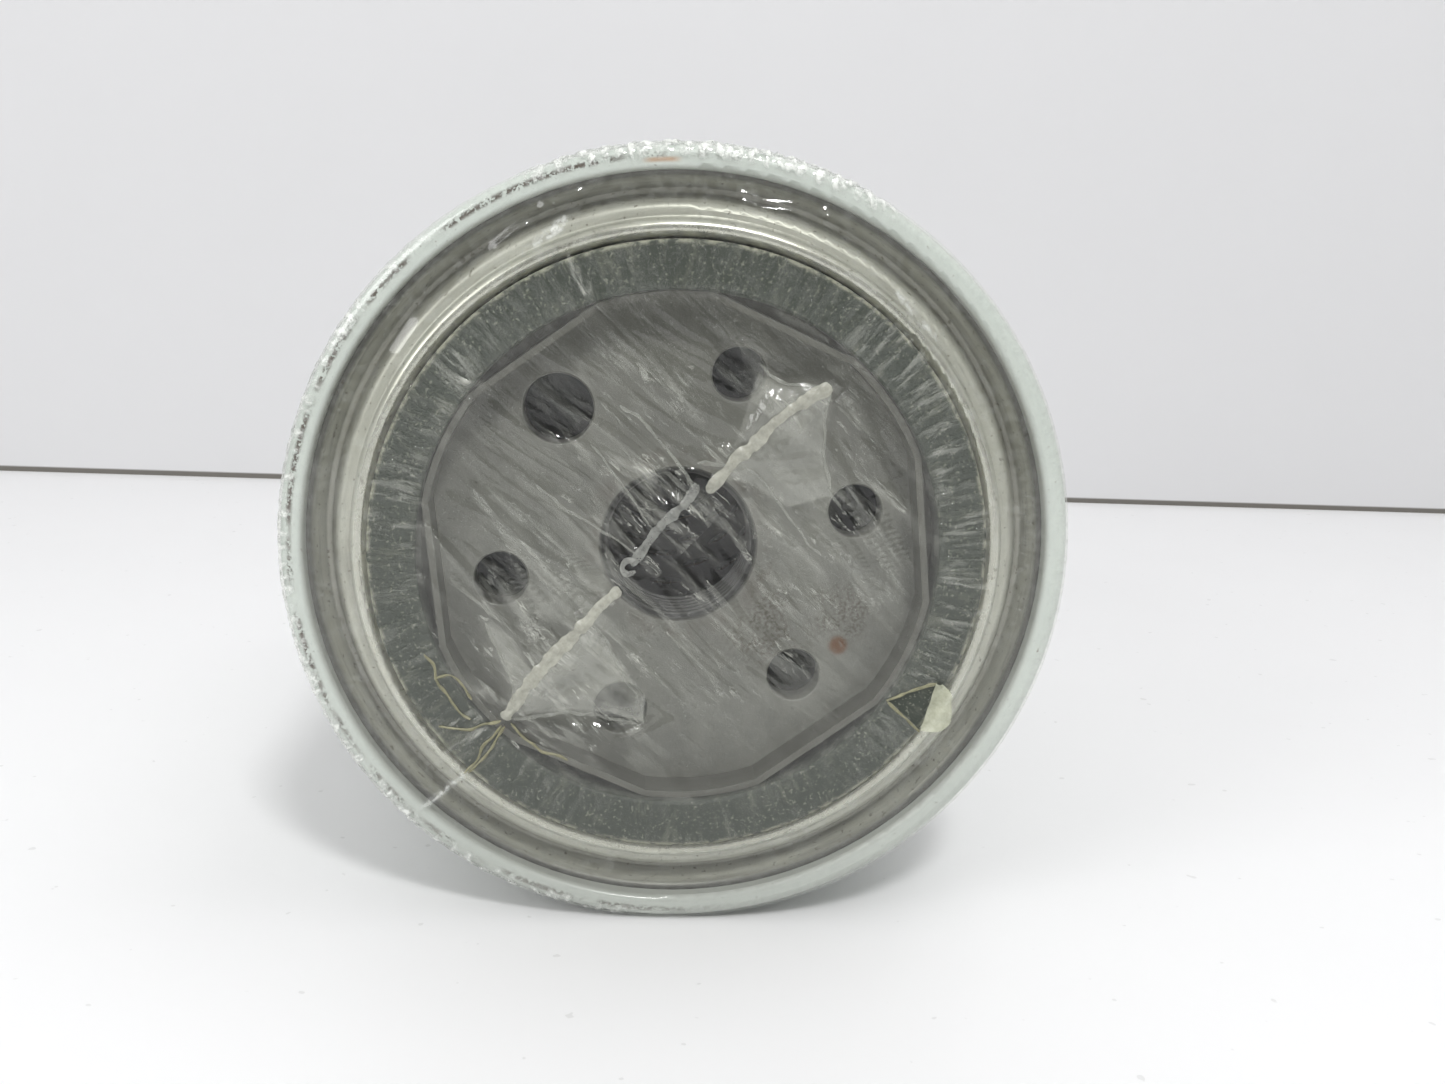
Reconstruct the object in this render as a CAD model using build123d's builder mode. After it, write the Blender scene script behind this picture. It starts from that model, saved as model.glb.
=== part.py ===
from build123d import *
import os
from math import cos, pi, radians, sin

os.makedirs("parts", exist_ok=True)

# Spin-on fuel filter, lying on its side.
# Millimetres, +Z up. The axis of the can runs along Y and the threaded end looks along -Y.
# The origin is the centre of the thread mouth, on the outer face of the tapping plate.
# Lengths along Y grow from the threaded end towards the closed end.

# can and rolled seam
can_radius = 46.0
can_gauge = 0.6
seam_radius = 46.9
seam_inner_radius = 44.2
seam_front = -4.0
fold_end = -1.8
seam_back = 2.4
can_end = 126.0
end_corner = 7.0
end_ring_inner = 27.0
end_recess_depth = 3.5

# lid that holds the outer gasket
lid_gauge = 0.8
channel_floor = -0.8
channel_outer_radius = 36.7
channel_inner_radius = 30.7
inner_wall_front = -4.8
flat_apothem = 29.4
flat_turn = 7.0
lip_front = -4.4
lip_outer_radius = 38.8
step_front = -2.0
step_outer_radius = 40.5
groove_radius = 42.05
groove_width = 0.7
groove_bottom = 1.5
flange_front = -1.6
flange_inner_radius = 43.6
flange_radius = 46.2

# tapping plate
plate_radius = 39.0
plate_thickness = 4.0
boss_radius = 14.0
boss_end = 10.0
thread_minor_radius = 8.73
thread_mouth_radius = 9.5
lead_in_depth = 0.5
inlet_circle = 21.9
inlet_radius = 3.25
large_inlet_radius = 4.2
first_inlet_angle = 132.6
inlet_count = 6

# outer gasket
gasket_inner_radius = 30.8
gasket_outer_radius = 36.5
gasket_front = -6.0

# filter element
cap_radius = 38.2
cap_gauge = 0.5
cap_skirt = 5.0
cap_hole_radius = 15.4
upper_cap_front = 12.0
lower_cap_back = 109.0
well_radius = 14.6
well_depth = 5.5
potting_depth = 2.0
potting_radius = 37.15
tube_radius = 17.0
tube_gauge = 0.6
tube_hole_radius = 2.4
tube_hole_rows = 9
tube_holes_round = 10
pleat_count = 54
pleat_outer_radius = 37.0
pleat_inner_radius = 17.8
paper_thickness = 0.5
clip_gauge = 0.3
clip_clearance = 0.04
clip_leg = 6.0
boss_clearance = 0.05
seal_radius = 17.0
seal_front = 4.1
seal_back = 14.0
seal_lip_radius = 16.2

# spring between the element and the closed end of the can
wire_radius = 0.9
spring_radius = 11.8
spring_turns = 5
spring_steps = 16

# shrink film
film_gauge = 0.15
film_radius = 47.05
film_front = -6.15
film_mouth = 114.0

# sizes that follow from the ones above
media_front = upper_cap_front + cap_gauge + potting_depth
media_back = lower_cap_back - cap_gauge - potting_depth
spring_front = lower_cap_back - well_depth
spring_back = can_end - end_recess_depth - can_gauge


def turned_sheet(points, bends, gauge):
    """Turn a bent sheet about the can's axis. The metal lies to the left of the line."""
    with BuildSketch(Plane.XY) as section:
        with BuildLine():
            FilletPolyline(*points, radius=bends)
            offset(amount=gauge, side=Side.LEFT)
        make_face()
    revolve(section.sketch, axis=Axis.Y)


def turned_outline(points):
    """Turn a closed outline of radius and length points about the can's axis."""
    with BuildSketch(Plane.XY) as section:
        with BuildLine():
            Polyline(*points, close=True)
        make_face()
    revolve(section.sketch, axis=Axis.Y)


def cross_plane(length):
    """Plane across the axis that looks along -Y, with x to the right and y up."""
    return Plane(origin=(0, length, 0), x_dir=(1, 0, 0), z_dir=(0, -1, 0))


def flatted_disc(radius, apothem):
    """Round disc with six flats, drawn in the sketch that is open."""
    Circle(radius)
    RegularPolygon(apothem, 6, major_radius=False, rotation=flat_turn + 30, mode=Mode.INTERSECT)


# Drawn steel can. Its open end is folded outward, over the flange of the lid and back in.
with BuildPart() as can:
    turned_sheet(
        [
            (seam_inner_radius, fold_end),
            (seam_inner_radius, seam_front),
            (seam_radius, seam_front),
            (seam_radius, seam_back),
            (can_radius, seam_back + 1.2),
            (can_radius, can_end),
            (end_ring_inner, can_end),
            (end_ring_inner - 4.0, can_end - end_recess_depth),
            (0, can_end - end_recess_depth),
        ],
        [0.75, 1.2, 0.9, 0.9, end_corner, 1.8, 1.8],
        can_gauge,
    )
can.part.label = "can"
export_step(can.part, "parts/can.step")

# Pressed lid: channel for the gasket, raised lip, step, groove and the flange inside the seam.
with BuildPart() as lid:
    turned_sheet(
        [
            (channel_inner_radius + 0.8, channel_floor),
            (channel_outer_radius, channel_floor),
            (channel_outer_radius, lip_front),
            (lip_outer_radius, lip_front),
            (lip_outer_radius, step_front),
            (step_outer_radius, step_front),
            (groove_radius - groove_width / 2, groove_bottom),
            (groove_radius + groove_width / 2, groove_bottom),
            (flange_inner_radius, flange_front),
            (flange_radius, flange_front),
            (flange_radius, seam_back - 0.8),
        ],
        [0.4, 1.0, 1.0, 0.4, 1.0, 0.3, 0.3, 1.0, 1.0],
        lid_gauge,
    )
    with BuildSketch(cross_plane(inner_wall_front)):
        flatted_disc(channel_inner_radius, flat_apothem)
    extrude(amount=inner_wall_front - channel_floor)
    with BuildSketch(cross_plane(channel_floor)):
        Circle(channel_inner_radius + 0.9)
    extrude(amount=channel_floor)
    with BuildSketch(cross_plane(inner_wall_front)):
        flatted_disc(channel_inner_radius - lid_gauge, flat_apothem - lid_gauge)
    extrude(amount=inner_wall_front, mode=Mode.SUBTRACT)
lid.part.label = "lid"
export_step(lid.part, "parts/lid.step")

# Sealing compound between the rolled edge of the can and the flange of the lid.
with BuildPart() as seam_sealant:
    turned_outline(
        [
            (seam_inner_radius + can_gauge + 0.2, seam_front + can_gauge),
            (flange_radius - 0.55, seam_front + can_gauge),
            (flange_radius - 0.55, flange_front),
            (seam_inner_radius + can_gauge + 0.2, flange_front),
        ]
    )
seam_sealant.part.label = "seam_sealant"
export_step(seam_sealant.part, "parts/seam_sealant.step")

# Thick tapping plate with the thread boss and the ring of six inlet holes.
with BuildPart() as tapping_plate:
    with BuildSketch(cross_plane(0)):
        Circle(plate_radius)
    extrude(amount=-plate_thickness)
    with BuildSketch(cross_plane(plate_thickness)):
        Circle(boss_radius)
    extrude(amount=plate_thickness - boss_end)
    with BuildSketch(cross_plane(0)):
        Circle(thread_minor_radius)
        for place in range(inlet_count):
            turn = first_inlet_angle - place * 360 / inlet_count
            hole = large_inlet_radius if place == 0 else inlet_radius
            with Locations((inlet_circle * cos(radians(turn)), inlet_circle * sin(radians(turn)))):
                Circle(hole)
    extrude(amount=-boss_end, mode=Mode.SUBTRACT)
    mouth = tapping_plate.edges().filter_by(GeomType.CIRCLE).filter_by(
        lambda edge: abs(edge.radius - thread_minor_radius) < 0.01
    )
    outer_face = tapping_plate.faces().sort_by(Axis.Y)[0]
    lead_in = thread_mouth_radius - thread_minor_radius
    chamfer(mouth.sort_by(Axis.Y)[0], lead_in, lead_in_depth, reference=outer_face)
    chamfer(mouth.sort_by(Axis.Y)[-1], 0.6)
tapping_plate.part.label = "tapping_plate"
export_step(tapping_plate.part, "parts/tapping_plate.step")

# Flat rubber gasket that stands proud of the seam.
with BuildPart() as gasket:
    turned_outline(
        [
            (gasket_inner_radius, channel_floor),
            (gasket_inner_radius, gasket_front),
            (gasket_outer_radius, gasket_front),
            (gasket_outer_radius, channel_floor),
        ]
    )
    fillet(gasket.edges().filter_by(GeomType.CIRCLE), 0.4)
gasket.part.label = "gasket"
export_step(gasket.part, "parts/gasket.step")

# Rubber grommet: holds the rim of the upper cap and slides on the thread boss.
with BuildPart() as element_seal:
    turned_outline(
        [
            (boss_radius + boss_clearance, seal_front),
            (seal_radius - 0.5, seal_front),
            (seal_radius, seal_front + 0.8),
            (seal_radius, upper_cap_front),
            (cap_hole_radius, upper_cap_front),
            (cap_hole_radius, upper_cap_front + cap_gauge),
            (seal_lip_radius, upper_cap_front + cap_gauge),
            (seal_lip_radius - 0.6, seal_back),
            (boss_radius + boss_clearance, seal_back),
        ]
    )
element_seal.part.label = "element_seal"
export_step(element_seal.part, "parts/element_seal.step")

# Open end cap at the threaded end.
with BuildPart() as upper_end_cap:
    turned_sheet(
        [
            (cap_hole_radius, upper_cap_front),
            (cap_radius, upper_cap_front),
            (cap_radius, upper_cap_front + cap_skirt),
        ],
        [1.0],
        cap_gauge,
    )
upper_end_cap.part.label = "upper_end_cap"
export_step(upper_end_cap.part, "parts/upper_end_cap.step")

# Closed end cap with a well for the spring.
with BuildPart() as lower_end_cap:
    turned_sheet(
        [
            (cap_radius, lower_cap_back - cap_skirt),
            (cap_radius, lower_cap_back),
            (well_radius + 0.6, lower_cap_back),
            (well_radius, spring_front),
            (0, spring_front),
        ],
        [1.0, 0.8, 0.8],
        cap_gauge,
    )
lower_end_cap.part.label = "lower_end_cap"
export_step(lower_end_cap.part, "parts/lower_end_cap.step")

# Adhesive that bonds the paper to the open cap.
with BuildPart() as upper_potting:
    with BuildSketch(cross_plane(upper_cap_front + cap_gauge)):
        Circle(potting_radius)
        Circle(tube_radius, mode=Mode.SUBTRACT)
    extrude(amount=-potting_depth)
upper_potting.part.label = "upper_potting"
export_step(upper_potting.part, "parts/upper_potting.step")

# Adhesive that bonds the paper to the closed cap.
with BuildPart() as lower_potting:
    with BuildSketch(cross_plane(media_back)):
        Circle(potting_radius)
        Circle(tube_radius, mode=Mode.SUBTRACT)
    extrude(amount=-potting_depth)
lower_potting.part.label = "lower_potting"
export_step(lower_potting.part, "parts/lower_potting.step")

# Perforated centre tube that the paper leans on.
with BuildPart() as center_tube:
    with BuildSketch(cross_plane(upper_cap_front + cap_gauge)):
        Circle(tube_radius)
        Circle(tube_radius - tube_gauge, mode=Mode.SUBTRACT)
    extrude(amount=upper_cap_front + 2 * cap_gauge - lower_cap_back)
    row_pitch = (media_back - media_front) / tube_hole_rows
    for row in range(tube_hole_rows):
        for place in range(tube_holes_round // 2):
            turn = (place + 0.5 * (row % 2)) * 360 / tube_holes_round
            centre = (0, media_front + (row + 0.5) * row_pitch, 0)
            across = (cos(radians(turn)), 0, sin(radians(turn)))
            with BuildSketch(Plane(origin=centre, x_dir=(0, 1, 0), z_dir=across)):
                Circle(tube_hole_radius)
            extrude(amount=tube_radius + 1, both=True, mode=Mode.SUBTRACT)
center_tube.part.label = "center_tube"
export_step(center_tube.part, "parts/center_tube.step")

# Pleated paper: one endless zigzag, drawn as a thick band.
pleat_pitch = 2 * pi / pleat_count
tip_half = 0.75 / pleat_outer_radius
root_half = 0.36 / pleat_inner_radius
with BuildPart() as pleated_media:
    outside = []
    inside = []
    for pleat in range(pleat_count):
        middle = pleat * pleat_pitch
        tip_inset = paper_thickness / pleat_outer_radius
        root_inset = paper_thickness / pleat_inner_radius
        for side in (-1, 1):
            tip_angle = middle + side * tip_half
            root_angle = middle + side * (pleat_pitch / 2 - root_half)
            tip = (pleat_outer_radius, tip_angle)
            root = (pleat_inner_radius + paper_thickness, root_angle)
            tip_in = (pleat_outer_radius - paper_thickness, tip_angle - side * tip_inset)
            root_in = (pleat_inner_radius, root_angle - side * root_inset)
            if side < 0:
                outside += [root, tip]
                inside += [root_in, tip_in]
            else:
                outside += [tip, root]
                inside += [tip_in, root_in]
    with BuildSketch(cross_plane(media_front)):
        with BuildLine():
            Polyline(*[(r * cos(a), r * sin(a)) for r, a in outside], close=True)
        make_face()
        with BuildLine():
            Polyline(*[(r * cos(a), r * sin(a)) for r, a in inside], close=True)
        make_face(mode=Mode.SUBTRACT)
    extrude(amount=media_front - media_back)
pleated_media.part.label = "pleated_media"
export_step(pleated_media.part, "parts/pleated_media.step")

# Strip of tinplate crimped over the pleat where the two ends of the paper meet.
clip_half = pleat_outer_radius * sin(tip_half) + clip_clearance
with BuildPart() as media_clip:
    with BuildSketch(cross_plane(media_front + 1)):
        with Locations((pleat_outer_radius + clip_clearance + clip_gauge - clip_leg / 2, 0)):
            Rectangle(clip_leg, 2 * (clip_half + clip_gauge))
        with Locations((pleat_outer_radius + clip_clearance - clip_leg / 2, 0)):
            Rectangle(clip_leg, 2 * clip_half, mode=Mode.SUBTRACT)
    extrude(amount=media_front - media_back + 2)
media_clip.part.label = "media_clip"
export_step(media_clip.part, "parts/media_clip.step")

# Coil spring with one closed turn at each end.
coil_points = []
wire_middle = spring_front + wire_radius
active_length = spring_back - spring_front - 4 * wire_radius
for step in range(spring_turns * spring_steps + 1):
    turned = step / spring_steps
    rise = 2 * wire_radius * min(turned, 1) / 2
    rise += active_length * max(0, min(turned - 1, spring_turns - 2)) / (spring_turns - 2)
    rise += wire_radius * max(0, turned - spring_turns + 1)
    around = 2 * pi * turned
    coil_points.append((spring_radius * cos(around), wire_middle + rise, spring_radius * sin(around)))
with BuildPart() as support_spring:
    with BuildLine() as coil:
        Spline(*coil_points)
    with BuildSketch(Plane(origin=coil.line @ 0, z_dir=coil.line % 0)):
        Circle(wire_radius)
    sweep(is_frenet=True)
support_spring.part.label = "support_spring"
export_step(support_spring.part, "parts/support_spring.step")

# Shrink film over the threaded end and down the side of the can, open at its far mouth.
with BuildPart() as shrink_film:
    turned_sheet(
        [
            (film_radius, film_mouth),
            (film_radius, seam_front + 0.9),
            (film_radius - 0.9, seam_front - 0.2),
            (gasket_outer_radius + 0.6, film_front),
            (0, film_front),
        ],
        [0.5, 1.5, 1.5],
        film_gauge,
    )
shrink_film.part.label = "shrink_film"
export_step(shrink_film.part, "parts/shrink_film.step")
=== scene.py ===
import math

import bpy
import numpy as np
from mathutils.geometry import tessellate_polygon
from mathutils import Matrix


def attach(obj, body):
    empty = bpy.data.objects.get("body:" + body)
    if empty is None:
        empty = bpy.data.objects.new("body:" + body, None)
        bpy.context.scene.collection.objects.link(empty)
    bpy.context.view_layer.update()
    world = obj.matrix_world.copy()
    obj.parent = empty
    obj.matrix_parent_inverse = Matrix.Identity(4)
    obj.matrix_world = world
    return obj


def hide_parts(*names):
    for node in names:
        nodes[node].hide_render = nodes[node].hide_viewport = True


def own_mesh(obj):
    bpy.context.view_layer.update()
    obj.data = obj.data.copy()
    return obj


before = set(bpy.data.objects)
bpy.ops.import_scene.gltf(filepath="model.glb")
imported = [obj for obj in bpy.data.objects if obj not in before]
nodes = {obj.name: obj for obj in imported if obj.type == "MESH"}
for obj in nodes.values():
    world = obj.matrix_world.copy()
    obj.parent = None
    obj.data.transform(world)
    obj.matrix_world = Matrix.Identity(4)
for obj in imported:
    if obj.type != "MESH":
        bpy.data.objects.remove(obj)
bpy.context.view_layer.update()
MM = 0.001

# ---------------------------------------------------------------- sizes, in millimetres
film_level = -6.25
film_edge = 37.0
film_radius = 47.12
film_mouth = 114.0
plate_radius = 39.0
plate_back = 4.0
boss_radius = 14.0
boss_back = 10.0
spring_radius = 11.8
spring_wire = 0.9
spring_low = 103.5
spring_high = 121.9
spring_turns = 5
thread_minor = 8.73
thread_depth = 0.8
thread_pitch = 1.5875
# inlet holes: the circle they are on, the turn in degrees and the radius of each
inlets = [(21.9, 132.6 - 60 * i, 4.2 if i == 0 else 3.25) for i in range(6)]


# ---------------------------------------------------------------- mesh helpers
def mesh_piece(name, points, faces, smooth=True):
    """A mesh object from points in millimetres, in the row frame."""
    mesh = bpy.data.meshes.new(name)
    mesh.from_pydata([tuple(float(c) * MM for c in p) for p in points], [], faces)
    mesh.validate()
    mesh.update()
    if smooth:
        mesh.polygons.foreach_set("use_smooth", [True] * len(mesh.polygons))
    piece = bpy.data.objects.new(name, mesh)
    bpy.context.scene.collection.objects.link(piece)
    return piece


def grid_piece(name, points, closed=True, keep=None):
    """A sheet from an array of rows of points in millimetres; each row closes on itself if asked."""
    rows, columns = points.shape[:2]
    index = np.arange(rows * columns).reshape(rows, columns)
    right = np.roll(index, -1, axis=1)
    if not closed:
        index, right = index[:, :-1], right[:, :-1]
    quads = np.stack([index[:-1], index[1:], right[1:], right[:-1]], axis=-1).reshape(-1, 4)
    flat = points.reshape(-1, 3)
    if keep is not None:
        middle = flat[quads].mean(axis=1)
        quads = quads[keep(middle[:, 0], middle[:, 2])]
    mesh = bpy.data.meshes.new(name)
    mesh.vertices.add(len(flat))
    mesh.vertices.foreach_set("co", (flat * MM).astype(np.float32).ravel())
    mesh.loops.add(quads.size)
    mesh.loops.foreach_set("vertex_index", quads.astype(np.int32).ravel())
    mesh.polygons.add(len(quads))
    mesh.polygons.foreach_set("loop_start", np.arange(0, quads.size, 4, dtype=np.int32))
    mesh.polygons.foreach_set("use_smooth", np.ones(len(quads), bool))
    mesh.update()
    mesh.validate()
    piece = bpy.data.objects.new(name, mesh)
    bpy.context.scene.collection.objects.link(piece)
    return piece


def paint_values(piece, name, values):
    """Store one number per vertex for the material to read."""
    layer = piece.data.attributes.new(name, "FLOAT", "POINT")
    layer.data.foreach_set("value", values.astype(np.float32).ravel())


def use(piece, material):
    """Give a piece one material."""
    piece.data.materials.clear()
    piece.data.materials.append(material)


# ---------------------------------------------------------------- material helpers
class Paint:
    """A small builder of node materials. Lengths in the row frame reach it in metres."""

    def __init__(self, name):
        self.material = bpy.data.materials.new(name)
        self.material.use_nodes = True
        self.tree = self.material.node_tree
        self.tree.nodes.clear()
        self.output = self.tree.nodes.new("ShaderNodeOutputMaterial")
        self.place = self.tree.nodes.new("ShaderNodeTexCoord").outputs["Object"]
        parts = self.node("ShaderNodeSeparateXYZ", {"Vector": self.place})
        self.x, self.y, self.z = parts.outputs
        self.radius = self.length(self.x, self.z)
        self.turn = self.math("ARCTAN2", self.z, self.x)

    def node(self, kind, inputs=(), **settings):
        made = self.tree.nodes.new(kind)
        for key, value in settings.items():
            setattr(made, key, value)
        for key, value in dict(inputs).items():
            socket = made.inputs[key]
            if isinstance(value, bpy.types.NodeSocket):
                self.tree.links.new(value, socket)
            else:
                socket.default_value = value
        return made

    def math(self, what, a, b=0.0, clamp=False):
        return self.node("ShaderNodeMath", {0: a, 1: b}, operation=what, use_clamp=clamp).outputs[0]

    def length(self, a, b):
        """Length of the flat vector with the parts a and b."""
        squares = self.math("ADD", self.math("MULTIPLY", a, a), self.math("MULTIPLY", b, b))
        return self.math("SQRT", squares)

    def inverse(self, value):
        """What is left of 1."""
        return self.math("SUBTRACT", 1.0, value)

    def noise(self, scale, detail=3.0, roughness=0.6, vector=None, distortion=0.0):
        inputs = {"Scale": scale, "Detail": detail, "Roughness": roughness, "Distortion": distortion}
        inputs["Vector"] = vector or self.place
        return self.node("ShaderNodeTexNoise", inputs).outputs["Fac"]

    def stretched(self, scale):
        return self.node("ShaderNodeMapping", {"Vector": self.place, "Scale": scale}).outputs[0]

    def polar(self, along, around):
        """Coordinates that run along the radius, around the axis and along the axis."""
        parts = {
            "X": self.math("MULTIPLY", self.radius, along),
            "Y": self.math("MULTIPLY", self.turn, around),
            "Z": self.math("MULTIPLY", self.y, along),
        }
        return self.node("ShaderNodeCombineXYZ", parts).outputs[0]

    def step(self, value, low, high):
        """0 below low, 1 above high, smooth between."""
        inputs = {"Value": value, 1: low, 2: high}
        return self.node("ShaderNodeMapRange", inputs, interpolation_type="SMOOTHSTEP").outputs[0]

    def band(self, value, low, high, soft):
        """1 between low and high, with soft edges."""
        rise = self.step(value, low - soft, low + soft)
        fall = self.step(value, high - soft, high + soft)
        return self.math("SUBTRACT", rise, fall, clamp=True)

    def near(self, x, z, size):
        """1 at a spot on the face, 0 beyond its size."""
        gap = self.length(self.math("SUBTRACT", self.x, x), self.math("SUBTRACT", self.z, z))
        return self.inverse(self.step(gap, size * 0.4, size))

    def mix(self, share, a, b):
        made = self.node("ShaderNodeMix", data_type="RGBA")
        for index, value in ((0, share), (6, a), (7, b)):
            socket = made.inputs[index]
            if isinstance(value, bpy.types.NodeSocket):
                self.tree.links.new(value, socket)
            else:
                socket.default_value = (*value, 1.0) if isinstance(value, tuple) else value
        return made.outputs[2]

    def times(self, *values):
        """All the values multiplied together."""
        result = values[0]
        for value in values[1:]:
            result = self.math("MULTIPLY", result, value)
        return result

    def bump(self, height, distance):
        """A normal from a height of 0 to 1, whose full rise is a distance in metres."""
        inputs = {"Height": height, "Distance": distance}
        return self.node("ShaderNodeBump", inputs).outputs[0]

    def surface(self, **inputs):
        """Finish the material as one principled shader."""
        names = {key.replace("_", " "): value for key, value in inputs.items()}
        shader = self.node("ShaderNodeBsdfPrincipled", names)
        self.tree.links.new(shader.outputs[0], self.output.inputs[0])
        return self.material


def painted_steel():
    """White paint, with the dark flaking line along the seam, painted shade on the seam's edge beside the lid
    and painted shade growing towards the bottom.
    """
    p = Paint("white_painted_steel")
    shade = p.mix(p.noise(45, 4), (0.53, 0.575, 0.54), (0.60, 0.64, 0.605))
    front = p.inverse(p.step(p.y, -0.0026, 0.004))
    left = p.step(p.math("MULTIPLY", p.x, -1.0), -0.012, 0.006)
    crumbs = p.step(p.noise(2100, 3, 0.7, p.polar(1.0, 0.032)), 0.45, 0.51)
    patches = p.step(p.noise(160, 2, 0.6), 0.36, 0.52)
    line = p.times(p.band(p.radius, 0.0455, 0.0461, 0.00025), crumbs, patches, left, front)
    specks = p.times(p.step(p.noise(1300, 2, 0.5), 0.72, 0.75), p.step(p.radius, 0.0438, 0.0442), 0.8)
    # painted shade: the seam's edge facing the lid is darkened where the groove beside it lies in shadow
    seam_edge_painted_shade = p.times(p.inverse(p.step(p.radius, 0.0440, 0.0448)), front)
    stained = p.mix(line, shade, (0.085, 0.066, 0.05))
    stained = p.mix(specks, stained, (0.22, 0.20, 0.17))
    stained = p.mix(p.times(seam_edge_painted_shade, 0.55), stained, (0.30, 0.30, 0.28))
    # painted shade: the seam's face grows darker towards the bottom
    painted_bottom_shade = p.times(p.step(p.math("MULTIPLY", p.z, -1.0), 0.012, 0.047), front, 0.5)
    stained = p.mix(painted_bottom_shade, stained, (0.34, 0.35, 0.325))
    scrape = p.times(p.near(-0.0035, 0.0452, 0.0026), p.band(p.radius, 0.0450, 0.0455, 0.0002), 0.7)
    stained = p.mix(scrape, stained, (0.42, 0.22, 0.10))
    rough = p.math("ADD", p.math("MULTIPLY", p.noise(300), 0.2), 0.25)
    relief = p.math("ADD", p.noise(420, 3), p.math("MULTIPLY", line, -1.5))
    bump = p.bump(relief, 0.00006)
    return p.surface(Base_Color=stained, Roughness=rough, Coat_Weight=0.3, Coat_Roughness=0.12, Normal=bump)


def dull_zinc():
    """Bare pressed sheet with painted shade in its hollow ring and at the foot of the seam, and a painted
    highlight on the gasket's retaining rim.
    """
    p = Paint("dull_zinc_sheet")
    cloud = p.noise(260, 6, 0.72, p.polar(1.0, 0.016))
    grain = p.noise(2200, 3, 0.75)
    drawn = p.noise(1100, 3, 0.6, p.polar(1.0, 0.004))
    base = p.mix(cloud, (0.34, 0.345, 0.295), (0.60, 0.605, 0.53))
    base = p.mix(p.math("MULTIPLY", grain, 0.45), base, (0.52, 0.52, 0.46))
    base = p.mix(p.math("MULTIPLY", p.step(drawn, 0.5, 0.7), 0.35), base, (0.20, 0.19, 0.165))
    # painted shade: the hollow ring and the foot of the seam are darkened as shadowed recesses
    painted_groove_shade = p.math("MULTIPLY", p.band(p.radius, 0.0412, 0.0425, 0.0004), 0.45)
    painted_corner_shade = p.math("MULTIPLY", p.step(p.radius, 0.0431, 0.0438), 0.85)
    base = p.mix(painted_groove_shade, base, (0.16, 0.15, 0.13))
    base = p.mix(painted_corner_shade, base, (0.035, 0.035, 0.032))
    specks = p.step(p.noise(1500, 3, 0.6), 0.62, 0.68)
    base = p.mix(p.math("MULTIPLY", specks, 0.6), base, (0.09, 0.075, 0.05))
    # painted highlight: the front crest of the gasket's retaining rim is lightened; the same mask also makes
    # it smoother and more metallic
    lip_crest_painted_highlight = p.times(p.band(p.radius, 0.0370, 0.0384, 0.0003), p.inverse(p.step(p.y, -0.0044, -0.0036)))
    base = p.mix(p.math("MULTIPLY", lip_crest_painted_highlight, 0.35), base, (0.66, 0.66, 0.58))
    inner_wall = p.inverse(p.step(p.radius, 0.0311, 0.0314))
    base = p.mix(inner_wall, base, (0.125, 0.125, 0.108))
    rough = p.math("ADD", p.math("MULTIPLY", cloud, 0.25), 0.30)
    rough = p.math("SUBTRACT", rough, p.math("MULTIPLY", lip_crest_painted_highlight, 0.16))
    metal = p.math("ADD", p.math("MULTIPLY", lip_crest_painted_highlight, 0.45), 0.4)
    relief = p.math("ADD", p.math("MULTIPLY", drawn, 0.6), p.math("MULTIPLY", grain, 0.5))
    return p.surface(Base_Color=base, Metallic=metal, Roughness=rough, Normal=p.bump(relief, 0.00003))


def plate_steel():
    """Stained plate with a rust spot, with painted shade towards the top and in the bore and painted
    highlights on the thread crests.
    """
    p = Paint("stained_plate_steel")
    cloud = p.step(p.noise(95, 6, 0.72), 0.28, 0.72)
    grain = p.noise(2200, 3, 0.7)
    base = p.mix(cloud, (0.106, 0.108, 0.094), (0.204, 0.206, 0.182))
    base = p.mix(p.math("MULTIPLY", grain, 0.4), base, (0.22, 0.22, 0.20))
    # painted shade: the plate is darkened towards the top to even out the light
    painted_upper_shade = p.math("MULTIPLY", p.step(p.z, -0.004, 0.026), 0.55)
    base = p.mix(painted_upper_shade, base, (0.085, 0.085, 0.068))
    worn = p.math("ADD", p.near(0.0120, -0.0105, 0.0065), p.near(0.0205, -0.0080, 0.0055), clamp=True)
    worn = p.math("ADD", worn, p.times(p.near(0.0060, -0.0080, 0.0100), 0.35), clamp=True)
    blots = p.step(p.noise(300, 5, 0.75), 0.38, 0.56)
    speckle = p.step(p.noise(2100, 3, 0.7), 0.42, 0.58)
    stain = p.times(blots, worn, speckle, 0.70)
    base = p.mix(stain, base, (0.058, 0.047, 0.031))
    round_bore = p.times(p.band(p.radius, 0.0097, 0.0118, 0.0008), p.step(p.noise(380, 4), 0.42, 0.62), 0.55)
    base = p.mix(round_bore, base, (0.11, 0.10, 0.085))
    dots = p.step(p.noise(1500, 2, 0.5), 0.68, 0.72)
    base = p.mix(p.math("MULTIPLY", dots, 0.6), base, (0.07, 0.065, 0.055))
    rust = p.times(p.near(0.0202, -0.0122, 0.0016), p.step(p.noise(900, 4, 0.7), 0.36, 0.44))
    base = p.mix(rust, base, (0.105, 0.036, 0.002))
    # painted shade: the bore's wall is painted near black, with painted highlights on the thread crests
    inside = p.inverse(p.step(p.radius, 0.0092, 0.0098))
    crest = p.inverse(p.step(p.radius, 0.00876, 0.0091))
    base = p.mix(inside, base, p.mix(crest, (0.016, 0.016, 0.015), (0.095, 0.095, 0.090)))
    rough = p.math("ADD", p.math("MULTIPLY", cloud, 0.3), 0.32)
    relief = p.math("ADD", p.math("MULTIPLY", cloud, 0.5), p.math("MULTIPLY", grain, 0.4))
    return p.surface(Base_Color=base, Metallic=0.12, Roughness=rough, Normal=p.bump(relief, 0.00004))


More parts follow.
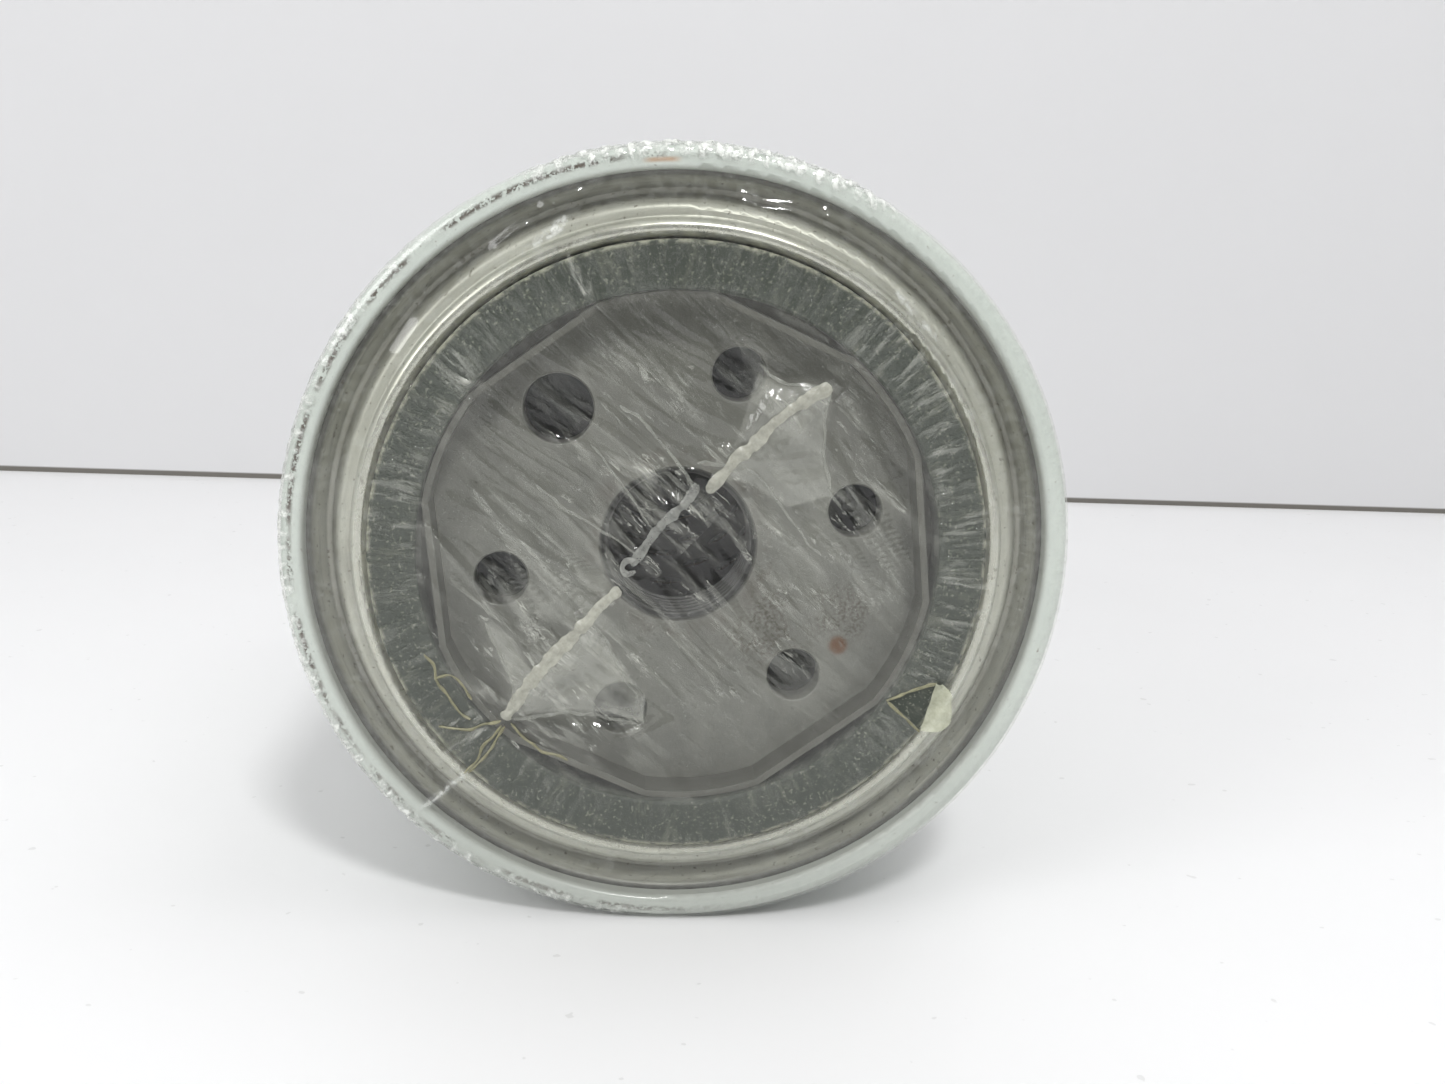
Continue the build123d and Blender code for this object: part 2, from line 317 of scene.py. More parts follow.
def dusty_rubber(name, dark, dust, amount):
    """Dark rubber with dust in spokes and a pale crust at the gasket's rim."""
    p = Paint(name)
    cloud = p.noise(170, 6, 0.75)
    streak = p.noise(520, 5, 0.75, p.polar(0.35, 0.030))
    base = p.mix(cloud, dark, tuple(c * 1.6 for c in dark))
    powder = p.times(p.step(streak, 0.5, 0.72), amount)
    base = p.mix(powder, base, dust)
    grit = p.step(p.noise(2600, 2, 0.5), 0.62, 0.68)
    base = p.mix(p.math("MULTIPLY", grit, 0.6), base, tuple(c * 1.5 for c in dust))
    rim = p.times(p.step(p.radius, 0.0358, 0.0364), p.step(p.noise(700, 4, 0.7), 0.40, 0.58), 0.75)
    base = p.mix(rim, base, (0.36, 0.36, 0.28))
    return p.surface(Base_Color=base, Roughness=0.62, Normal=p.bump(p.noise(1800, 3), 0.00004))


def filter_paper():
    """Folded paper, painted dark brown for the shade in the closed can, darkest at its fold tips round the
    tube as painted shade.
    """
    p = Paint("pleated_paper_in_painted_shade")
    fibre = p.noise(1300, 4, 0.7, p.stretched((1.0, 0.35, 1.0)))
    # painted shade: the paper's colours are dark brown for the shade inside the closed can
    base = p.mix(p.noise(90, 4), (0.12, 0.085, 0.045), (0.20, 0.145, 0.08))
    base = p.mix(p.math("MULTIPLY", fibre, 0.4), base, (0.27, 0.20, 0.12))
    # painted shade at the fold tips next to the tube
    painted_tip_shade = p.inverse(p.step(p.radius, 0.0180, 0.0195))
    base = p.mix(p.math("MULTIPLY", painted_tip_shade, 0.85), base, (0.022, 0.019, 0.014))
    return p.surface(Base_Color=base, Roughness=0.85, Normal=p.bump(fibre, 0.00005))


def tinplate(name, low, high):
    """Bright metal with fine drawing marks."""
    p = Paint(name)
    cloud = p.noise(70, 4)
    drawn = p.noise(700, 3, 0.6, p.polar(1.0, 0.01))
    base = p.mix(cloud, low, high)
    base = p.mix(p.math("MULTIPLY", p.step(drawn, 0.5, 0.75), 0.3), base, tuple(c * 0.6 for c in low))
    rough = p.math("ADD", p.math("MULTIPLY", drawn, 0.2), 0.22)
    return p.surface(Base_Color=base, Metallic=0.9, Roughness=rough, Normal=p.bump(drawn, 0.00002))


def plastic_paste(name, low, high):
    """Dull coating or paste with soft lumps."""
    p = Paint(name)
    lumps = p.noise(260, 4)
    base = p.mix(lumps, low, high)
    return p.surface(Base_Color=base, Roughness=0.55, Normal=p.bump(lumps, 0.0001))


# ---------------------------------------------------------------- threaded plate
def loop(radius, y, count, centre=(0.0, 0.0)):
    """A circle of points round a line along the axis."""
    turns = [2 * math.pi * i / count for i in range(count)]
    return [(centre[0] + radius * math.cos(t), y, centre[1] + radius * math.sin(t)) for t in turns]


def threaded_plate():
    """The tapping plate with bevelled inlet holes and a true right-hand thread in its bore."""
    points = []
    faces = []

    def add(ring):
        points.extend(ring)
        return list(range(len(points) - len(ring), len(points)))

    def bridge(a, b):
        for i in range(len(a)):
            j = (i + 1) % len(a)
            faces.append((a[i], a[j], b[j], b[i]))

    def cover(outer, holes, flip):
        rings = [outer, *holes]
        flat = [[(points[i][0], points[i][2], 0.0) for i in ring] for ring in rings]
        order = [i for ring in rings for i in ring]
        for a, b, c in tessellate_polygon(flat):
            tri = (order[a], order[b], order[c])
            faces.append(tri[::-1] if flip else tri)

    around = 192
    bevel = 0.3
    mouth = 9.58
    runout = 0.12
    front_edge = add(loop(plate_radius - bevel, 0.0, around))
    side_front = add(loop(plate_radius, bevel, around))
    side_back = add(loop(plate_radius, plate_back - bevel, around))
    back_edge = add(loop(plate_radius - bevel, plate_back, around))
    bridge(front_edge, side_front)
    bridge(side_front, side_back)
    bridge(side_back, back_edge)
    front_holes = []
    back_holes = []
    for circle, turn, radius in inlets:
        centre = (circle * math.cos(math.radians(turn)), circle * math.sin(math.radians(turn)))
        rings = [(radius + 0.22, 0.0), (radius + 0.06, 0.06), (radius, 0.22)]
        rings += [(radius, plate_back - 0.2), (radius + 0.2, plate_back)]
        made = [add(loop(r, y, 64, centre)) for r, y in rings]
        for first, second in zip(made[1:], made[:-1]):
            bridge(first, second)
        front_holes.append(made[0])
        back_holes.append(made[-1])
    levels = 120
    previous = add(loop(9.65, 0.0, around))
    front_holes.append(previous)
    for k in range(levels + 1):
        y = runout + (boss_back - 2 * runout) * k / levels
        ring = []
        for i in range(around):
            turn = 2 * math.pi * i / around
            phase = (y / thread_pitch - i / around) % 1.0
            ramp = min(max((0.5 - abs(phase - 0.5)) * 2.6 - 0.28, 0.0), 1.0)
            lead_in = mouth - (y - runout) * 1.2
            radius = max(thread_minor + thread_depth * ramp, lead_in)
            radius = max(radius, thread_minor + 0.6 - (boss_back - y) * 0.9)
            ring.append((radius * math.cos(turn), y, radius * math.sin(turn)))
        ring = add(ring)
        bridge(ring, previous)
        previous = ring
    bore_back = add(loop(9.5, boss_back, around))
    bridge(bore_back, previous)
    boss_edge = add(loop(boss_radius - 0.5, boss_back, around))
    boss_side = add(loop(boss_radius, boss_back - 0.5, around))
    boss_root = add(loop(boss_radius, plate_back, around))
    bridge(boss_edge, bore_back)
    bridge(boss_side, boss_edge)
    bridge(boss_root, boss_side)
    cover(front_edge, front_holes, False)
    cover(back_edge, [*back_holes, boss_root], True)
    piece = mesh_piece("threaded_plate", points, faces)
    mesh = piece.data
    mesh.polygons.foreach_set("use_smooth", [len(p.vertices) == 4 for p in mesh.polygons])
    bpy.context.view_layer.objects.active = piece
    piece.select_set(True)
    bpy.ops.object.mode_set(mode="EDIT")
    bpy.ops.mesh.select_all(action="SELECT")
    bpy.ops.mesh.normals_make_consistent(inside=False)
    bpy.ops.object.mode_set(mode="OBJECT")
    piece.select_set(False)
    return piece


plate = threaded_plate()
use(plate, plate_steel())
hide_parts("tapping_plate")
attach(plate, "filter_body")

use(nodes["can"], painted_steel())
use(nodes["lid"], dull_zinc())
use(nodes["gasket"], dusty_rubber("gasket_rubber", (0.031, 0.037, 0.029), (0.14, 0.145, 0.115), 0.6))
use(nodes["element_seal"], dusty_rubber("grommet_rubber", (0.02, 0.02, 0.021), (0.06, 0.06, 0.055), 0.2))
use(nodes["seam_sealant"], plastic_paste("sealing_compound", (0.60, 0.53, 0.40), (0.74, 0.68, 0.55)))
# painted shade: the end caps, clip and centre tube are painted near black for the shade inside the closed can
shade_darkened_caps = plastic_paste("shade_darkened_cap_steel", (0.040, 0.043, 0.048), (0.062, 0.066, 0.072))
use(nodes["center_tube"], plastic_paste("shade_darkened_tube", (0.030, 0.033, 0.036), (0.050, 0.054, 0.058)))
for name in ("upper_end_cap", "lower_end_cap", "media_clip"):
    use(nodes[name], shade_darkened_caps)
glue = plastic_paste("potting_adhesive", (0.20, 0.17, 0.12), (0.32, 0.28, 0.21))
for name in ("upper_potting", "lower_potting"):
    use(nodes[name], glue)
use(nodes["pleated_media"], filter_paper())


def spring_coil():
    """The element's spring, pressed towards the closed end of the can."""
    ring = np.linspace(0, 2 * math.pi, 12, endpoint=False)
    rows = []
    active = spring_high - spring_low - 4 * spring_wire
    for turned in np.linspace(0, spring_turns, 361):
        rise = spring_low + spring_wire * (1 + min(turned, 1) + max(0, turned - spring_turns + 1))
        rise += active * max(0, min(turned - 1, spring_turns - 2)) / (spring_turns - 2)
        turn = 2 * math.pi * turned
        wire = 0.02 if turned in (0, spring_turns) else spring_wire
        radius = spring_radius + wire * np.cos(ring)
        wound = [radius * math.cos(turn), rise + wire * np.sin(ring), radius * math.sin(turn)]
        rows.append(np.stack(wound, axis=-1))
    return grid_piece("spring_coil", np.stack(rows))


coil = spring_coil()
use(coil, tinplate("drawn_spring_wire", (0.16, 0.16, 0.17), (0.30, 0.30, 0.31)))
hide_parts("support_spring")
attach(coil, "filter_body")
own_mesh(coil)
use(nodes["support_spring"], tinplate("spring_wire", (0.16, 0.16, 0.17), (0.30, 0.30, 0.31)))


# ---------------------------------------------------------------- shrink film
def smooth_step(value, low, high):
    """0 below low, 1 above high, smooth between."""
    t = np.clip((value - low) / (high - low), 0.0, 1.0)
    return t * t * (3.0 - 2.0 * t)


def lattice_noise(u, v, seed):
    """Smooth random values from 0 to 1, about one swing per unit."""
    cells = 97
    table = np.random.default_rng(seed).random((cells, cells))
    iu, iv = np.floor(u).astype(int), np.floor(v).astype(int)
    fu, fv = u - iu, v - iv
    fu, fv = fu * fu * (3 - 2 * fu), fv * fv * (3 - 2 * fv)
    a, b = table[iu % cells, iv % cells], table[(iu + 1) % cells, iv % cells]
    c, d = table[iu % cells, (iv + 1) % cells], table[(iu + 1) % cells, (iv + 1) % cells]
    return (a * (1 - fu) + b * fu) * (1 - fv) + (c * (1 - fu) + d * fu) * fv


def creased(u, v, seed):
    """Noise with sharp crests, 1 on a crest."""
    return 1.0 - np.abs(2.0 * lattice_noise(u, v, seed) - 1.0)


def ring_noise(turn, count, seed):
    """Random values around the axis that meet themselves after a full turn."""
    table = np.random.default_rng(seed).random(count)
    at = (turn / (2 * math.pi)) % 1.0 * count
    i = np.floor(at).astype(int)
    f = at - i
    f = f * f * (3 - 2 * f)
    return table[i % count] * (1 - f) + table[(i + 1) % count] * f


def line_gap(x, z, start, end):
    """Distance from the line between two points, and how far along it each point is."""
    dx, dz = end[0] - start[0], end[1] - start[1]
    length = math.hypot(dx, dz)
    along = ((x - start[0]) * dx + (z - start[1]) * dz) / length**2
    t = np.clip(along, 0, 1)
    return np.hypot(x - start[0] - t * dx, z - start[1] - t * dz), along


def path_gap(x, z, path):
    """Distance from the nearest point of a path."""
    gap = np.full(np.shape(x), 1e9)
    for start, end in zip(path[:-1], path[1:]):
        gap = np.minimum(gap, line_gap(x, z, start, end)[0])
    return gap


def patch_share(x, z, corners, soft):
    """1 well inside a patch of film, falling to 0 over its soft edge."""
    inside = np.zeros(np.shape(x), bool)
    for (ax, az), (bx, bz) in zip(corners, corners[1:] + corners[:1]):
        crosses = (az > z) != (bz > z)
        at = (bx - ax) * (z - az) / ((bz - az) or 1e-9) + ax
        inside ^= crosses & (x < at)
    gap = path_gap(x, z, corners + corners[:1])
    return np.where(inside, smooth_step(gap, 0.0, soft), 0.0)


# the heat-sealed joint of the film, in three strips, and the webs that it pulls up
seal_upper = [(16.8, 20.3), (15.1, 19.8), (13.2, 18.4), (11.0, 16.7), (9.1, 14.8), (7.7, 13.1)]
seal_upper += [(6.2, 12.1), (4.7, 10.0), (2.9, 7.7)]
seal_middle = [(1.7, 8.7), (0.6, 6.7), (-1.0, 5.1), (-2.8, 3.4), (-3.9, 1.4), (-4.7, 0.2), (-5.6, -1.3)]
seal_lower = [(-6.9, -4.1), (-8.9, -5.6), (-10.4, -7.7), (-11.9, -9.7), (-13.8, -11.5), (-15.8, -13.5)]
seal_lower += [(-17.3, -15.6), (-18.8, -18.1), (-20.4, -20.3)]
seal_curl = [(-5.2, -0.4), (-6.3, -0.6), (-6.9, -1.6), (-6.1, -2.3), (-5.2, -1.8)]
seal_line = seal_upper + seal_middle + seal_lower
seal_turn = math.atan2(40.6, 37.2)
# each web: its corners, the width of its soft edge and how milky it is
upper_web_right = [(16.8, 20.3), (16.1, 15.4), (16.5, 11.0), (17.6, 7.6)]
upper_web_right += [(12.5, 6.0), (8.0, 8.6), (4.4, 9.4), (9.0, 14.6)]
upper_web_left = [(16.8, 20.3), (14.4, 20.8), (10.8, 20.6), (8.1, 22.0)]
upper_web_left += [(7.0, 18.0), (5.4, 12.6), (9.4, 15.0)]
lower_web_left = [(-20.4, -20.3), (-19.2, -16.0), (-22.9, -8.2), (-19.5, -10.0), (-16.6, -14.8)]
lower_web_right = [(-20.4, -20.3), (-17.8, -19.7), (-12.0, -19.2), (-8.2, -19.5), (-3.6, -20.8)]
lower_web_right += [(-3.4, -17.4), (-7.4, -12.2), (-10.0, -8.4), (-15.6, -13.7)]
webs = [
    (upper_web_right, 0.30, 0.22),
    (upper_web_left, 0.45, 0.20),
    (lower_web_left, 0.35, 0.28),
    (lower_web_right, 0.30, 0.30),
]
# pale slivers over the lid's rings, in the same form
slivers = [
    ([(-13.4, 39.4), (-14.4, 36.6), (-20.4, 32.9), (-17.6, 35.9)], 0.35, 0.42),
    ([(22.6, 33.0), (26.4, 29.4), (29.8, 25.6), (28.0, 26.4), (24.0, 30.2)], 0.4, 0.34),
]
# small folds over the lid's rings that catch the light, each with its rise
glint_folds = [
    ([(5.6, 40.9), (8.1, 40.0), (11.4, 39.9), (13.4, 39.0)], 0.42),
    ([(15.4, 39.5), (17.2, 38.6), (17.6, 37.7)], 0.45),
    ([(-18.9, 37.0), (-21.6, 34.6)], 0.35),
    ([(-13.0, 41.0), (-16.4, 39.4)], 0.3),
    ([(-30.4, 25.6), (-32.6, 22.2)], 0.3),
    ([(32.4, 24.0), (34.6, 20.2)], 0.25),
]
# straight creases, each from its sharp start to its faded end
crease_lines = [
    ((-24.6, 19.2), (-28.2, 23.2)),
    ((-24.6, 19.2), (-26.6, 23.6)),
    ((-11.5, 29.6), (-12.9, 35.0)),
    ((-11.5, 29.6), (-13.8, 34.6)),
    ((29.2, 7.6), (34.6, 9.0)),
    ((-30.2, 4.0), (-24.8, -3.2)),
    ((-5.0, 30.0), (2.0, 25.0)),
    ((-16.2, 14.0), (1.2, 8.0)),
    ((-10.5, 18.5), (1.4, 7.8)),
    ((-22.0, 3.5), (-9.0, -4.4)),
    ((-24.4, 8.0), (-12.0, -6.0)),
    ((-10.6, -7.6), (2.0, -19.0)),
    ((-6.6, -3.6), (3.6, -15.6)),
    ((4.8, 9.8), (14.8, -0.6)),
    ((2.6, 7.4), (12.6, -7.0)),
]
# where the film is gathered at the seal's torn end
gather = (-20.4, -20.6)


def film_shape(x, z):
    """The film over the threaded end: its height in mm, how streaked and how evenly milky it is."""
    radius = np.hypot(x, z)
    turn = np.arctan2(z, x)
    along = x * math.cos(seal_turn) + z * math.sin(seal_turn)
    across = -x * math.sin(seal_turn) + z * math.cos(seal_turn)
    bend = 5.0 * (lattice_noise(along / 13 + 40, across / 13 + 40, 3) - 0.5)
    fan = along * (1.0 + 0.010 * np.abs(across)) + bend
    broad = creased(fan / 3.4 + 50, across / 15 + 50 + 5 * (across > 0), 5)
    middle = creased(fan / 1.6 + 50, across / 9 + 50 + 5 * (across > 0), 8)
    fine = creased(fan / 0.75 + 90, across / 6 + 50 + 5 * (across > 0), 13)
    open_part = 1.0 - smooth_step(radius, 25.0, 30.4)
    calm = 0.35 + 0.65 * smooth_step(lattice_noise(x / 11 + 20, z / 11 + 20, 21), 0.3, 0.6)
    calm = calm * (1.0 - 0.75 * smooth_step(x - z, 24.0, 34.0))
    pull = np.exp(-((across / 17.0) ** 2))
    height = open_part * calm * (0.55 * broad**2 + 0.32 * middle**3 + 0.20 * fine**3) * (0.45 + 0.75 * pull)
    haze = open_part * calm * (0.15 * broad**3 + 0.20 * middle**5 + 0.14 * fine**6) * (0.35 + 0.75 * pull)
    haze = haze + 0.035 * open_part * lattice_noise(x / 4 + 30, z / 4 + 30, 2)

    veil = 0.012 * open_part * lattice_noise(x / 6 + 10, z / 6 + 10, 4)
    veil = veil + 0.015 * np.exp(-((across / 6.0) ** 2)) * np.exp(-((along / 26.0) ** 4))

    near_seal = np.exp(-((path_gap(x, z, seal_line) / 2.4) ** 2))
    pucker = creased(along / 1.3 + 60, across / 3.5 + 60, 17) ** 2
    height = height + near_seal * (0.35 + 0.35 * pucker + 0.14 * creased(x / 1.1 + 20, z / 1.1 + 20, 19) ** 2)
    haze = haze + near_seal * 0.16 * pucker

    for corners, soft, milk in webs:
        share = patch_share(x, z, corners, soft)
        cloud = lattice_noise(x / 2.2 + 70, z / 2.2 + 70, 31)
        swell = patch_share(x, z, corners, 2.6)
        lumps = 0.30 * creased(x / 2.6 + 30, z / 2.6 + 30, 33) ** 2
        lumps = lumps + 0.16 * creased(x / 1.2 + 40, z / 1.2 + 40, 35) ** 2
        height = height + swell * (0.35 + lumps)
        veil = veil + share * milk * (0.6 + 0.8 * cloud)
        veil = veil + 0.07 * np.exp(-((path_gap(x, z, corners[:4]) / 0.5) ** 2))
    for start, end in crease_lines:
        gap, t = line_gap(x, z, start, end)
        fade = smooth_step(t, -0.02, 0.12) * (1 - smooth_step(t, 0.7, 1.02))
        height = height + fade * 0.28 * np.exp(-((gap / 0.36) ** 2))
        haze = haze + fade * (0.18 * np.exp(-((gap / 0.28) ** 2)) + 0.08 * np.exp(-((gap / 1.1) ** 2)))

    away = np.hypot(x - gather[0], z - gather[1])
    swirl = np.arctan2(z - gather[1], x - gather[0])
    rays = creased(swirl * 5.2 + 40, away / 9 + 40, 37) ** 2
    gathered = np.exp(-((away / 7.5) ** 2)) * (1 - np.exp(-((away / 0.9) ** 2)))
    height = height + gathered * 0.5 * rays * (0.4 + 0.6 * open_part)
    haze = haze + gathered * 0.42 * rays**2

    folds_gap = np.abs(np.hypot((x + 9.0) / 1.25, z + 13.5) - 8.2)
    folds_reach = smooth_step(x, -20.0, -15.0) * (1 - smooth_step(x, -3.0, 1.5))
    folds = np.exp(-((folds_gap / 1.8) ** 2)) * smooth_step(-z, 19.5, 21.5) * folds_reach
    lobes = creased(folds_gap * 1.3 + x * 0.35 + 60, x / 5 + 60, 41) ** 2
    height = height + folds * 0.9 * lobes
    haze = haze + folds * 0.34 * lobes

    over_gasket = smooth_step(radius, 30.2, 32.4) * (1 - smooth_step(radius, 36.4, 37.2))
    right = smooth_step(np.cos(turn - 0.15), 0.55, 0.85)
    left = smooth_step(np.cos(turn - 2.95), 0.70, 0.95)
    spokes = 0.6 * creased(turn * 26 + 100, radius / 5 + 20, 43) ** 2
    spokes = spokes + 0.4 * creased(turn * 60 + 200, radius / 4 + 20, 47) ** 2
    wide_spokes = creased(turn * 9 + 100, radius / 7 + 20, 53) ** 2
    height = height + over_gasket * 0.05 * (right + 0.4) * spokes
    haze = haze + over_gasket * (right * 0.24 * spokes + left * 0.14 * wide_spokes + 0.03 * wide_spokes)

    rim_line = np.exp(-(((radius - 30.4) / 0.35) ** 2)) * (0.5 + 0.5 * ring_noise(turn, 60, 59))
    haze = haze + 0.16 * rim_line
    height = height * (1 - 0.97 * smooth_step(radius, 26.5, 30.8)) + over_gasket * 0.03 * wide_spokes
    veil = veil + 0.05 * np.exp(-(((radius - 29.9) / 1.4) ** 2))
    sag = 0.55 * (1 - smooth_step(radius, 4.0, 30.0))
    return height - sag, haze + 0.02, veil


def film_y(x, z):
    """Length along the axis of the film's face at a point, in mm."""
    return film_level - film_shape(np.asarray(x, float), np.asarray(z, float))[0]


# corners of the hole that is torn in the film
tear = [(25.8, -17.2), (28.6, -15.9), (31.4, -14.9), (30.5, -18.2), (29.9, -20.9), (27.9, -18.9)]


def not_torn(x, z):
    """True where the film's face has no tear."""
    inside = patch_share(x, z, tear, 1e-6)
    return inside < 0.5


around = 864
turns = np.linspace(0, 2 * math.pi, around, endpoint=False)


def face_rings():
    """Rings of points over the threaded end from the centre out, with their two kinds of milkiness."""
    radii = np.concatenate([np.linspace(0.05, 30.0, 84), np.linspace(30.3, film_edge, 18)])
    radius, turn = np.meshgrid(radii, turns, indexing="ij")
    x, z = radius * np.cos(turn), radius * np.sin(turn)
    height, haze, veil = film_shape(x, z)
    return np.stack([x, film_level - height, z], axis=-1), haze, veil


def cone_ring(radius, share, start):
    """A ring of film between the face and the seam, a share of the way there, and its milkiness."""
    x, z = radius * np.cos(turns), radius * np.sin(turns)
    lift = 0.10 * share * (1 - share) * creased(turns * 8 + 60, radius / 6 + 10, 67)
    y = start + (seam_level - start) * share - lift
    milk = 0.035 + 0.05 * creased(turns * 14 + 50, radius / 3 + 10, 71) ** 4 * (1 - share)
    for corners, soft, amount in slivers:
        milk = milk + patch_share(x, z, corners, soft) * amount
    milk = milk + 0.4 * np.exp(-((path_gap(x, z, pulled_strand) / 0.3) ** 2))
    milk = milk + 0.05 * np.exp(-(((radius - 37.6) / 0.5) ** 2))
    for path, rise in glint_folds:
        y = y - rise * np.exp(-((path_gap(x, z, path) / 0.75) ** 2))
    return np.stack([x, y, z], axis=-1), milk


def side_ring(radius, level):
    """A ring of film round the seam or the can, crinkled near the seam and folded further back."""
    under = smooth_step(-np.sin(turns), 0.90, 0.985)
    top = smooth_step(np.sin(turns + 0.05), 0.86, 0.965)
    left_side = smooth_step(-np.cos(turns - 0.3), 0.2, 0.7)
    slack = smooth_step(ring_noise(turns, 23, 61), 0.45, 0.8)
    reach_back = smooth_step(level, 3.0, 14.0)
    bubbles = creased(turns * 48 + 60, level / 0.9 + 30, 73)
    bubbles = bubbles * lattice_noise(turns * 90 + 50, level / 0.6 + 30, 79)
    long_folds = creased(turns * 6 + 30, level / 45 + 10, 83) ** 6
    cross_folds = creased(level / 7 + 40 + turns * 1.2, turns * 2.4 + 20, 89) ** 5
    crinkle = (top * 0.5 + left_side * 0.12 + 0.04) * bubbles * (1 - reach_back)
    puff = crinkle + (0.30 * long_folds + 0.22 * cross_folds * slack) * reach_back
    reach = radius + puff * (1 - under)
    ragged = 1.8 * lattice_noise(turns * 9 + 30, 3, 97)
    ragged = ragged * smooth_step(level, 80.0, film_mouth)
    y = level - ragged - 0.25 * crinkle
    shrunk = top * 0.9 + left_side * 0.5 + 0.06
    milk = 0.06 + shrunk * smooth_step(bubbles, 0.15, 0.6) * (1 - reach_back)
    milk = milk + (0.20 * long_folds + 0.16 * cross_folds * slack) * reach_back
    milk = milk + 0.20 * smooth_step(level, film_mouth - 3.0, film_mouth)
    return np.stack([reach * np.cos(turns), y, reach * np.sin(turns)], axis=-1), milk


face_points, haze, veil = face_rings()
film_face = grid_piece("film_face", face_points, keep=not_torn)
paint_values(film_face, "milk", haze)
paint_values(film_face, "veil", veil)

# the film from the face's edge over the seam and along the can
seam_level = -4.42
seam_bend = 45.3
pulled_strand = [(-25.1, -27.7), (-30.2, -32.6)]
rings = [(face_points[-1], haze[-1])]
for share in np.linspace(0, 1, 22)[1:]:
    rings.append(cone_ring(film_edge + (seam_bend - film_edge) * share, share, face_points[-1][:, 1]))
side_levels = np.concatenate([np.linspace(-2.4, 8.0, 22), np.linspace(9.5, film_mouth, 44)])
profile = [(45.9, -4.28), (46.4, -4.12), (46.8, -3.85), (47.0, -3.5), (film_radius, -3.0)]
profile += [(film_radius, level) for level in side_levels]
for radius, level in profile:
    rings.append(side_ring(radius, level))
film_sleeve = grid_piece("film_sleeve", np.stack([points for points, milk in rings]))
paint_values(film_sleeve, "milk", np.stack([milk for points, milk in rings]))


def film_finish(p, share, relief, tint):
    """See-through film: milky by its share, with gloss on its wrinkles."""
    clear = p.node("ShaderNodeBsdfTransparent", {"Color": (0.985, 0.988, 0.975, 1)})
    veil = p.node("ShaderNodeBsdfPrincipled", {"Base Color": (*tint, 1), "Roughness": 0.4})
    body = p.node("ShaderNodeMixShader", {0: share, 1: clear.outputs[0], 2: veil.outputs[0]})
    gloss = p.node("ShaderNodeBsdfGlossy", {"Color": (1, 1, 1, 1), "Roughness": 0.08, "Normal": relief})
    facing = p.node("ShaderNodeLayerWeight", {"Blend": 0.5, "Normal": relief}).outputs["Facing"]
    skim = p.math("ADD", p.math("MULTIPLY", p.math("POWER", facing, 4.0), 0.40), 0.046, clamp=True)
    both = p.node("ShaderNodeMixShader", {0: skim, 1: body.outputs[0], 2: gloss.outputs[0]})
    p.tree.links.new(both.outputs[0], p.output.inputs[0])
    return p.material


def face_film():
    """Film over the threaded end: streaks run away from the sealed joint, spokes cross the gasket."""
    p = Paint("clear_film_face")
    milk = p.node("ShaderNodeAttribute", attribute_name="milk").outputs["Fac"]
    even = p.node("ShaderNodeAttribute", attribute_name="veil").outputs["Fac"]
    c, d = math.cos(seal_turn), math.sin(seal_turn)
    along = p.math("ADD", p.math("MULTIPLY", p.x, c), p.math("MULTIPLY", p.z, d))
    across = p.math("SUBTRACT", p.math("MULTIPLY", p.z, c), p.math("MULTIPLY", p.x, d))
    drawn = {"X": along, "Y": p.math("MULTIPLY", across, 0.15), "Z": 0.3}
    drawn = p.node("ShaderNodeCombineXYZ", drawn).outputs[0]
    soft = p.noise(420, 5, 0.62, drawn, 0.7)
    thin = p.noise(760, 3, 0.6, drawn, 1.1)
    spokes = p.noise(900, 4, 0.65, p.polar(0.22, 0.034), 0.4)
    outer = p.step(p.radius, 0.0300, 0.0316)
    # thin crisp streak lines: partly milky film, partly painted glints
    crisp_milk_and_glint_lines = p.math("ABSOLUTE", p.math("SUBTRACT", thin, 0.5))
    crisp_milk_and_glint_lines = p.times(p.inverse(p.step(crisp_milk_and_glint_lines, 0.002, 0.022)), p.step(p.noise(170, 2), 0.45, 0.6))
    inner_streaks = p.math("ADD", p.times(p.step(soft, 0.45, 0.60), 1.5), p.times(crisp_milk_and_glint_lines, 1.2))
    outer_streaks = p.times(p.step(spokes, 0.42, 0.62), outer, 2.1)
    streaks = p.math("ADD", p.times(inner_streaks, p.inverse(outer)), outer_streaks)
    even = p.times(even, p.math("ADD", p.math("MULTIPLY", p.noise(1100, 4, 0.7), 0.8), 0.6))
    dust = p.times(p.step(p.noise(4200, 2, 0.5), 0.64, 0.70), p.step(p.noise(240, 3), 0.40, 0.6), 0.22)
    share = p.times(milk, p.math("ADD", p.math("MULTIPLY", p.math("POWER", streaks, 1.6), 0.50), 0.02))
    # painted highlights: thin bright lines of milky film stand in for glints
    painted_glint_lines = p.inverse(p.step(p.math("ABSOLUTE", p.math("SUBTRACT", soft, 0.5)), 0.002, 0.016))
    painted_glint_lines = p.times(painted_glint_lines, p.step(p.noise(330, 3), 0.50, 0.60), p.step(milk, 0.05, 0.16))
    painted_glint_lines = p.times(painted_glint_lines, p.inverse(outer), 0.5)
    share = p.math("ADD", p.math("ADD", share, painted_glint_lines), p.math("ADD", even, dust), clamp=True)
    height = p.math("ADD", p.times(streaks, 0.5), p.noise(500, 2))
    return film_finish(p, share, p.bump(height, 0.00004), (0.54, 0.55, 0.49))


